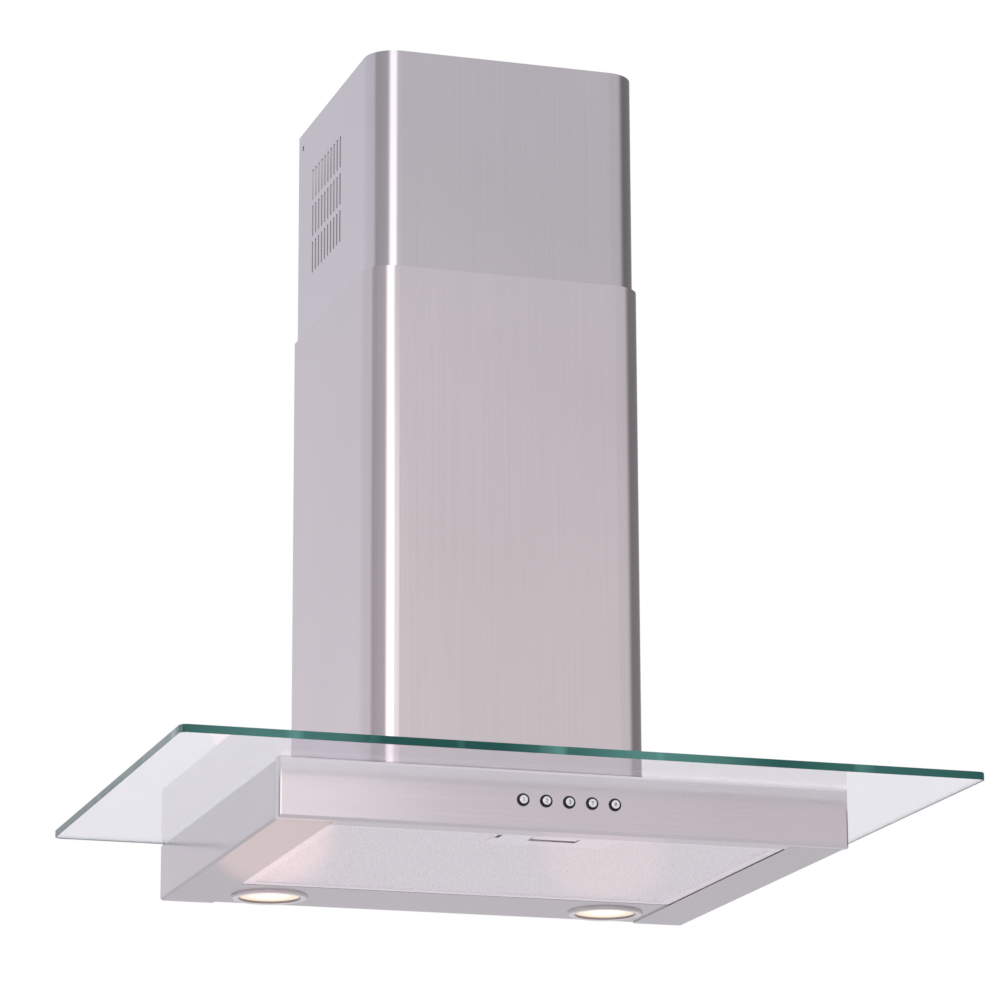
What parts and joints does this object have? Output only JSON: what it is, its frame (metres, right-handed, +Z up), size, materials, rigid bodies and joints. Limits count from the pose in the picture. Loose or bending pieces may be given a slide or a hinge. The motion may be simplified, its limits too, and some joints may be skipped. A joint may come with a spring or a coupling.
{
  "type": "range hood",
  "caption": "Wall-mounted chimney range hood with a flat glass canopy, a slim steel body, push buttons, lamps, a drop-down grease filter and a telescoping chimney.",
  "frame": {"origin": "on the wall plane, midway between the two wall screw holes of the back panel, at half the height of the steel body", "axes": "+X to the right seen from the front, +Y towards the wall, +Z up along the chimney"},
  "size_m": [0.6, 0.418, 0.637],
  "materials": {
    "stainless": "brushed stainless sheet, satin",
    "galvanised": "galvanised sheet, dull",
    "canopy_glass": "clear toughened glass with polished edges",
    "nylon": "natural nylon",
    "zinc_plated": "bright zinc plate",
    "housing_plastic": "black moulded plastic, fine grain",
    "wheel_plastic": "dark grey moulded plastic",
    "shaft_steel": "ground steel",
    "motor_casting": "die-cast aluminium",
    "rubber": "soft black rubber",
    "black_plastic": "black moulded plastic, satin",
    "button_metal": "satin-plated cap",
    "lamp_trim": "satin pressed steel",
    "lamp_lens": "lightly frosted glass",
    "lamp_filament": "halogen capsule",
    "lamp_ceramic": "white ceramic",
    "lamp_cup": "bright spun aluminium",
    "capacitor_shell": "pale moulded plastic",
    "filter_aluminium": "satin aluminium",
    "filter_mesh": "fine expanded aluminium mesh"
  },
  "bodies": {
    "hood": {"blower_box": "galvanised", "blower_box_screws": "zinc_plated", "button_guide": "black_plastic", "cable_gland": "black_plastic", "canopy_shell": "stainless", "capacitor": "capacitor_shell", "capacitor_clip": "galvanised", "collar_screws": "zinc_plated", "control_box": "housing_plastic", "control_box_lid": "housing_plastic", "control_box_screws": "zinc_plated", "fan_motor": "motor_casting", "flap_pins": "zinc_plated", "front_fascia": "stainless", "glass_bushes": "nylon", "glass_canopy": "canopy_glass", "glass_nuts": "zinc_plated", "glass_screws": "zinc_plated", "lamp_bulb_left": "lamp_filament", "lamp_bulb_right": "lamp_filament", "lamp_glass_left": "lamp_lens", "lamp_glass_right": "lamp_lens", "lamp_holder_left": "lamp_ceramic", "lamp_holder_right": "lamp_ceramic", "lamp_housing_left": "lamp_cup", "lamp_housing_right": "lamp_cup", "lamp_panel": "stainless", "lamp_ring_left": "lamp_trim", "lamp_ring_right": "lamp_trim", "lamp_transformer": "capacitor_shell", "lower_chimney": "stainless", "motor_bracket": "galvanised", "motor_bushes": "rubber", "motor_screws": "zinc_plated", "outlet_collar": "housing_plastic", "rear_panel": "galvanised", "scroll_left": "housing_plastic", "scroll_right": "housing_plastic", "scroll_screws": "zinc_plated", "switch_block": "black_plastic", "terminal_block": "nylon"},
    "upper_chimney": {"upper_chimney": "stainless", "upper_bracket": "galvanised"},
    "filter": {"filter_frame": "filter_aluminium", "filter_mesh_lower": "filter_mesh", "filter_mesh_upper": "filter_mesh", "filter_core": "filter_mesh", "latch_housing": "filter_aluminium", "latch_spring": "shaft_steel"},
    "filter_latch": {"filter_latch": "filter_aluminium"},
    "fan_wheel": {"fan_impeller": "wheel_plastic", "motor_shaft": "shaft_steel"},
    "flap_front": {"flap_front": "wheel_plastic"},
    "flap_rear": {"flap_rear": "wheel_plastic"},
    "button_low": {"button_low": "button_metal"},
    "button_medium": {"button_medium": "button_metal"},
    "button_high": {"button_high": "button_metal"},
    "button_fan": {"button_fan": "button_metal"},
    "button_lamp": {"button_lamp": "button_metal"}
  },
  "joints": [
    {"name": "chimney_slide", "type": "slide", "parent": "hood", "child": "upper_chimney", "axis": [0, 0, 1], "range_m": [-0.17, 0.186]},
    {"name": "filter_hinge", "type": "hinge", "parent": "hood", "child": "filter", "pos_m": [0, -0.085, -0.0205], "axis": [1, 0, 0], "range_deg": [0, 80]},
    {"name": "latch_slide", "type": "slide", "parent": "filter", "child": "filter_latch", "axis": [0, 1, 0], "range_m": [0, 0.0055], "stiffness_N_per_m": 300, "springref_m": -0.003, "deforming": ["latch_spring"]},
    {"name": "fan_spin", "type": "hinge", "parent": "hood", "child": "fan_wheel", "pos_m": [0, -0.08, 0.119], "axis": [1, 0, 0], "continuous": true},
    {"name": "flap_front_hinge", "type": "hinge", "parent": "hood", "child": "flap_front", "pos_m": [0, -0.121, 0.252], "axis": [-1, 0, 0], "range_deg": [0, 78]},
    {"name": "flap_rear_hinge", "type": "hinge", "parent": "hood", "child": "flap_rear", "pos_m": [0, -0.111, 0.252], "axis": [1, 0, 0], "range_deg": [0, 78]},
    {"name": "button_low_push", "type": "slide", "parent": "hood", "child": "button_low", "axis": [0, 1, 0], "range_m": [0, 0.0025], "stiffness_N_per_m": 400, "springref_m": -0.002},
    {"name": "button_medium_push", "type": "slide", "parent": "hood", "child": "button_medium", "axis": [0, 1, 0], "range_m": [0, 0.0025], "stiffness_N_per_m": 400, "springref_m": -0.002},
    {"name": "button_high_push", "type": "slide", "parent": "hood", "child": "button_high", "axis": [0, 1, 0], "range_m": [0, 0.0025], "stiffness_N_per_m": 400, "springref_m": -0.002},
    {"name": "button_fan_push", "type": "slide", "parent": "hood", "child": "button_fan", "axis": [0, 1, 0], "range_m": [0, 0.0025], "stiffness_N_per_m": 400, "springref_m": -0.002},
    {"name": "button_lamp_push", "type": "slide", "parent": "hood", "child": "button_lamp", "axis": [0, 1, 0], "range_m": [0, 0.0025], "stiffness_N_per_m": 400, "springref_m": -0.002}
  ]
}
